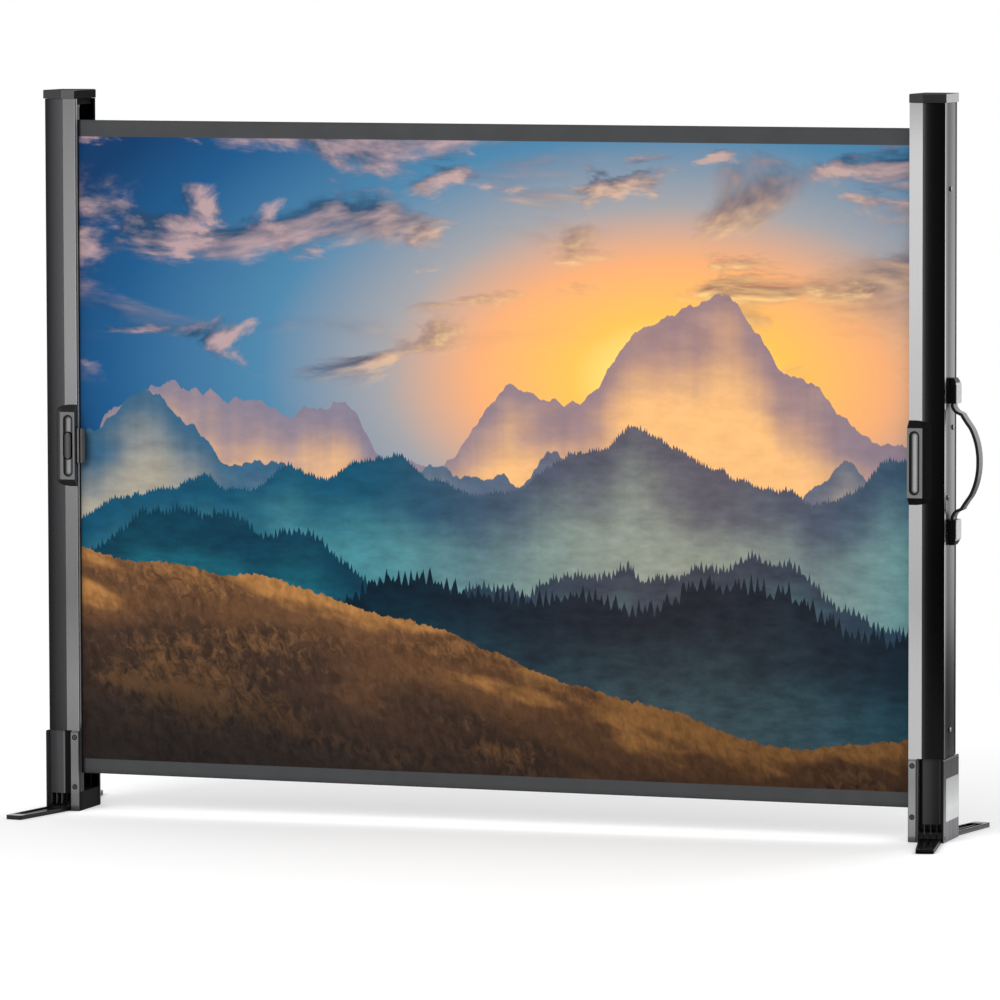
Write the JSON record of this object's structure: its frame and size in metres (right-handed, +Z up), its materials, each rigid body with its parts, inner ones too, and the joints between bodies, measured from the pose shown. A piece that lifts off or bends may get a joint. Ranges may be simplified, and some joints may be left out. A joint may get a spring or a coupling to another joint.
{
  "type": "tabletop projection screen",
  "caption": "Tabletop projection screen: fabric drawn sideways from a spring roller in one upright column by a second column, with fold-out feet, a latch and a carry strap.",
  "frame": {"origin": "middle of the underside of the right base block, the roller column's, with the screen drawn out", "axes": "+X to the viewer's right along the width, +Z up, -Y to the front, where the picture is seen"},
  "size_m": [1.1849, 0.2792, 0.884],
  "materials": {
    "anodised_aluminium": "satin",
    "grey_metal": "satin",
    "black_plastic": "matte",
    "gloss_black_cover": "gloss",
    "black_rubber": "matte",
    "steel": "satin",
    "white_plastic": "matte",
    "matte_white_fabric": "matte"
  },
  "bodies": {
    "roller_column": {"handle_lower_end": "black_plastic", "handle_strap": "black_rubber", "handle_upper_end": "black_plastic", "right_back_cover": "gloss_black_cover", "right_back_foot_pin": "steel", "right_back_plate": "grey_metal", "right_base_block": "black_plastic", "right_front_cover": "gloss_black_cover", "right_front_foot_pin": "steel", "right_front_plate": "grey_metal", "right_grip": "black_plastic", "right_housing": "anodised_aluminium", "right_top_cap": "black_plastic", "roller_bottom_bracket": "white_plastic", "roller_spring": "steel", "roller_top_bracket": "white_plastic", "screen_fabric": "matte_white_fabric", "spring_mandrel": "steel"},
    "pull_column": {"clamp_bar": "grey_metal", "clamp_jaw": "grey_metal", "clamp_top_clip": "black_plastic", "latch_pin": "steel", "latch_spring": "steel", "latch_spring_seat": "steel", "left_back_cover": "gloss_black_cover", "left_back_foot_pin": "steel", "left_back_plate": "grey_metal", "left_base_block": "black_plastic", "left_front_cover": "gloss_black_cover", "left_front_foot_pin": "steel", "left_front_plate": "grey_metal", "left_grip": "black_plastic", "left_housing": "anodised_aluminium", "left_top_cap": "black_plastic"},
    "roller": {"roller_tube": "anodised_aluminium", "fabric_roll": "matte_white_fabric", "roller_top_plug": "white_plastic", "roller_bottom_plug": "white_plastic", "spring_drive_plug": "white_plastic"},
    "latch_button": {"latch_button": "black_plastic"},
    "latch_hook": {"latch_hook": "black_plastic"},
    "right_front_foot_leg": {"right_front_foot": "black_plastic"},
    "right_back_foot_leg": {"right_back_foot": "black_plastic"},
    "left_front_foot_leg": {"left_front_foot": "black_plastic"},
    "left_back_foot_leg": {"left_back_foot": "black_plastic"}
  },
  "joints": [
    {"name": "column_slide", "type": "slide", "parent": "roller_column", "child": "pull_column", "axis": [1, 0, 0], "range_m": [0, 1.0494], "deforming": ["screen_fabric"]},
    {"name": "roller_spin", "type": "hinge", "parent": "roller_column", "child": "roller", "pos_m": [-0.00125, -0.0084, 0.45], "axis": [0, 0, 1], "range_deg": [0, 3869]},
    {"name": "button_press", "type": "slide", "parent": "pull_column", "child": "latch_button", "axis": [0, 1, 0], "range_m": [0, 0.002], "stiffness_N_per_m": 500, "springref_m": -0.001},
    {"name": "hook_swing", "type": "hinge", "parent": "pull_column", "child": "latch_hook", "pos_m": [-1.07305, -0.0369, 0.45], "axis": [0, 0, -1], "range_deg": [0, 10.2], "deforming": ["latch_spring"]},
    {"name": "right_front_foot_fold", "type": "hinge", "parent": "roller_column", "child": "right_front_foot_leg", "pos_m": [0.00335, -0.0253, 0.0095], "axis": [-0.982, -0.1891, 0], "range_deg": [0, 86]},
    {"name": "right_back_foot_fold", "type": "hinge", "parent": "roller_column", "child": "right_back_foot_leg", "pos_m": [0.00335, 0.0253, 0.0095], "axis": [0.982, -0.1891, 0], "range_deg": [0, 86]},
    {"name": "left_front_foot_fold", "type": "hinge", "parent": "pull_column", "child": "left_front_foot_leg", "pos_m": [-1.09685, -0.0253, 0.0095], "axis": [-0.982, 0.1891, 0], "range_deg": [0, 86]},
    {"name": "left_back_foot_fold", "type": "hinge", "parent": "pull_column", "child": "left_back_foot_leg", "pos_m": [-1.09685, 0.0253, 0.0095], "axis": [0.982, 0.1891, 0], "range_deg": [0, 86]}
  ],
  "couplings": [
    {"joint": "roller_spin", "follows": "column_slide", "rad_per_m": 64.309},
    {"joint": "hook_swing", "follows": "button_press", "rad_per_m": 87}
  ]
}
